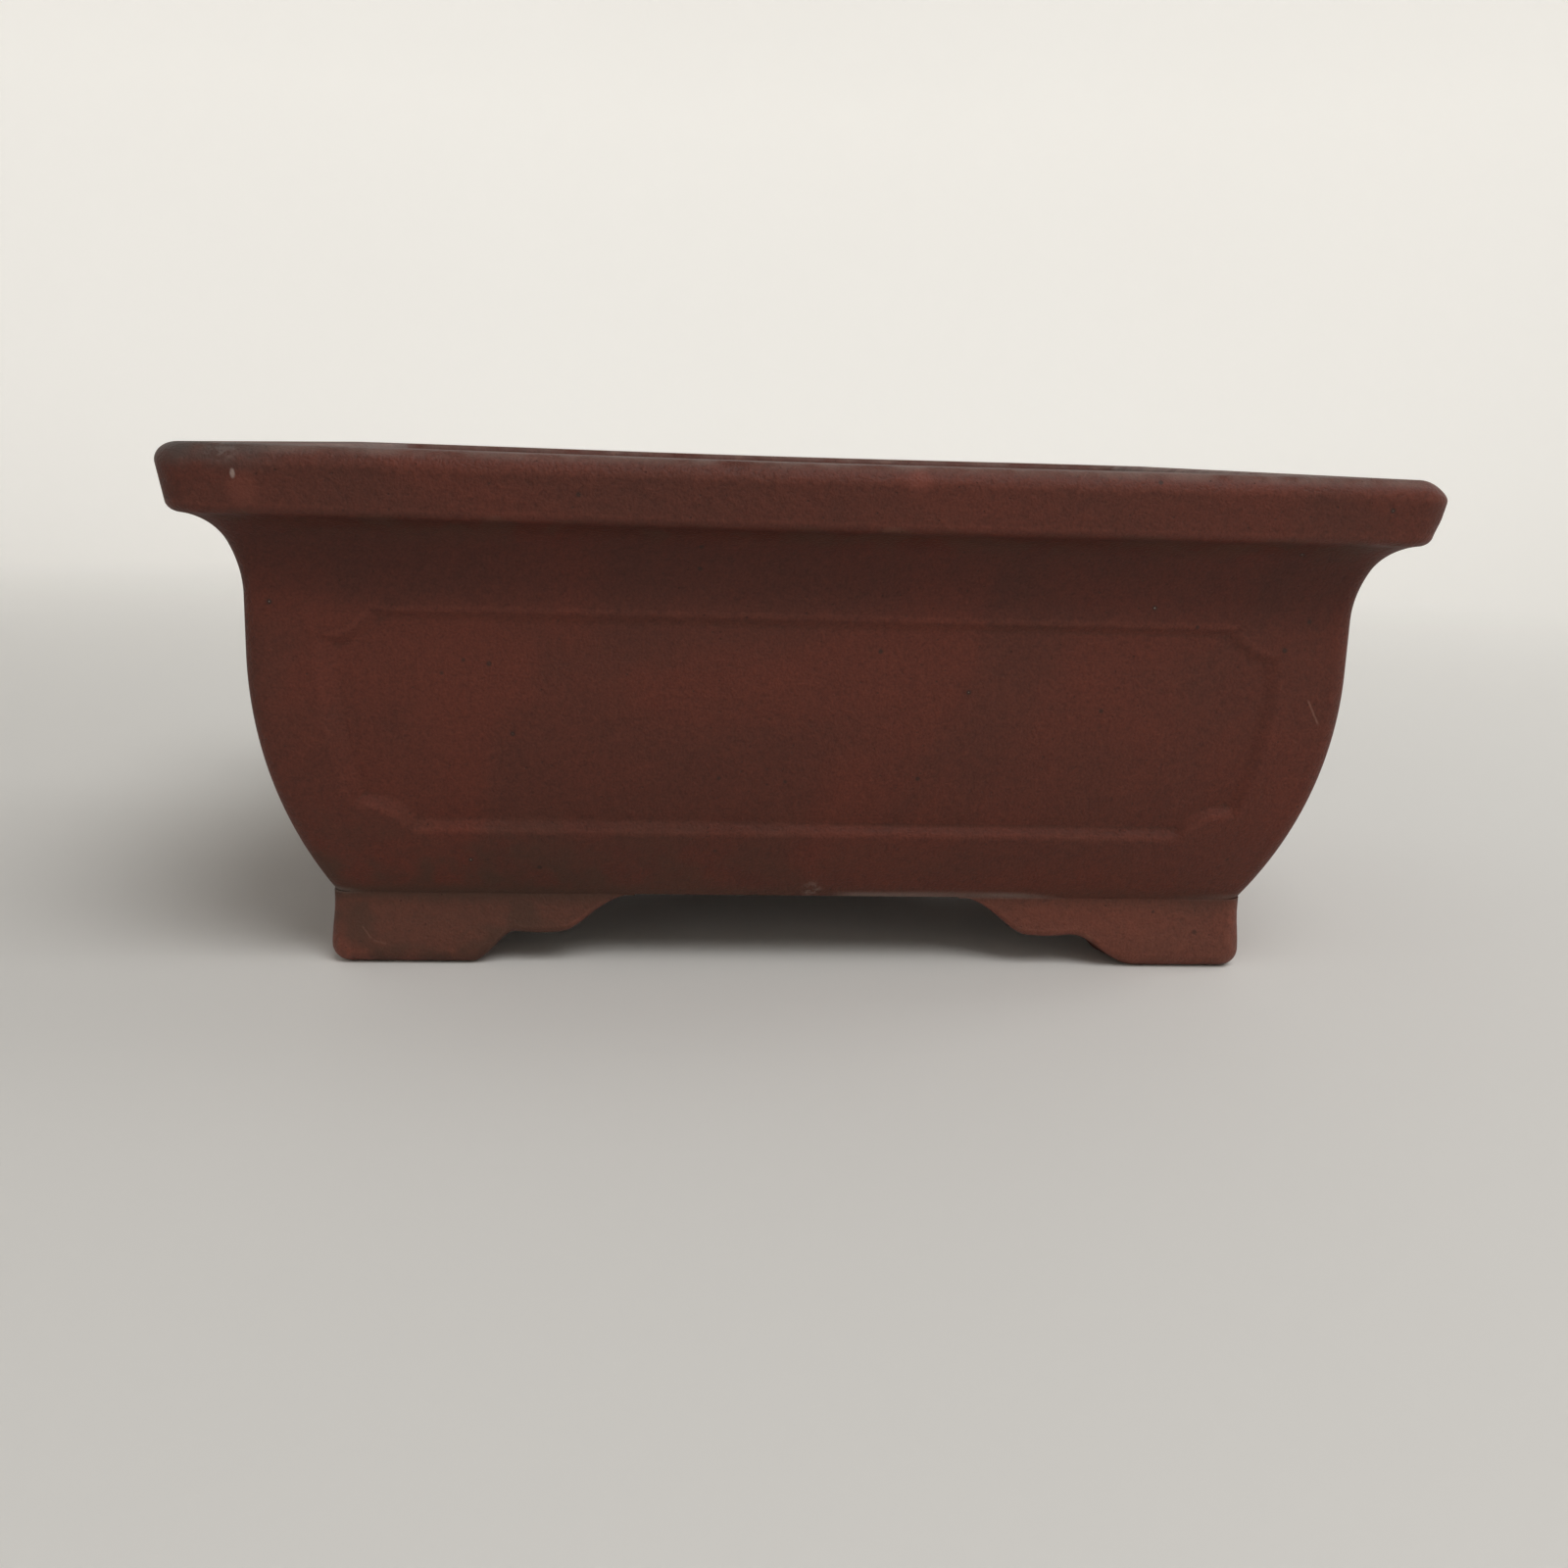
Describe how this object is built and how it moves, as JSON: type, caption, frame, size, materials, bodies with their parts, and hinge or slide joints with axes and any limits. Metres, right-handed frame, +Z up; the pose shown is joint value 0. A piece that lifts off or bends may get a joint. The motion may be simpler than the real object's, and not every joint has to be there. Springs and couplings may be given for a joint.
{
  "type": "bonsai pot",
  "caption": "Rectangular unglazed red-brown stoneware bonsai pot with an outward lip, sunk side panels with scooped corners, and cloud bracket feet.",
  "frame": {"origin": "on the plane of the soles, under the middle of the pot", "axes": "+X along the length, to the right as seen from the front; +Y towards the back; +Z up"},
  "size_m": [0.18, 0.14, 0.078],
  "materials": {
    "wall_clay": "matte unglazed",
    "rim_clay": "matte unglazed",
    "foot_clay": "matte unglazed",
    "floor_clay": "matte unglazed",
    "coil_clay": "matte unglazed"
  },
  "bodies": {
    "root": {"floor_slab": "floor_clay", "wall_front": "wall_clay", "wall_back": "wall_clay", "wall_left": "wall_clay", "wall_right": "wall_clay", "rim_front": "rim_clay", "rim_back": "rim_clay", "rim_left": "rim_clay", "rim_right": "rim_clay", "foot_front_left": "foot_clay", "foot_front_right": "foot_clay", "foot_back_left": "foot_clay", "foot_back_right": "foot_clay", "floor_coil": "coil_clay", "corner_coil_front_left": "coil_clay", "corner_coil_front_right": "coil_clay", "corner_coil_back_left": "coil_clay", "corner_coil_back_right": "coil_clay"}
  },
  "joints": []
}
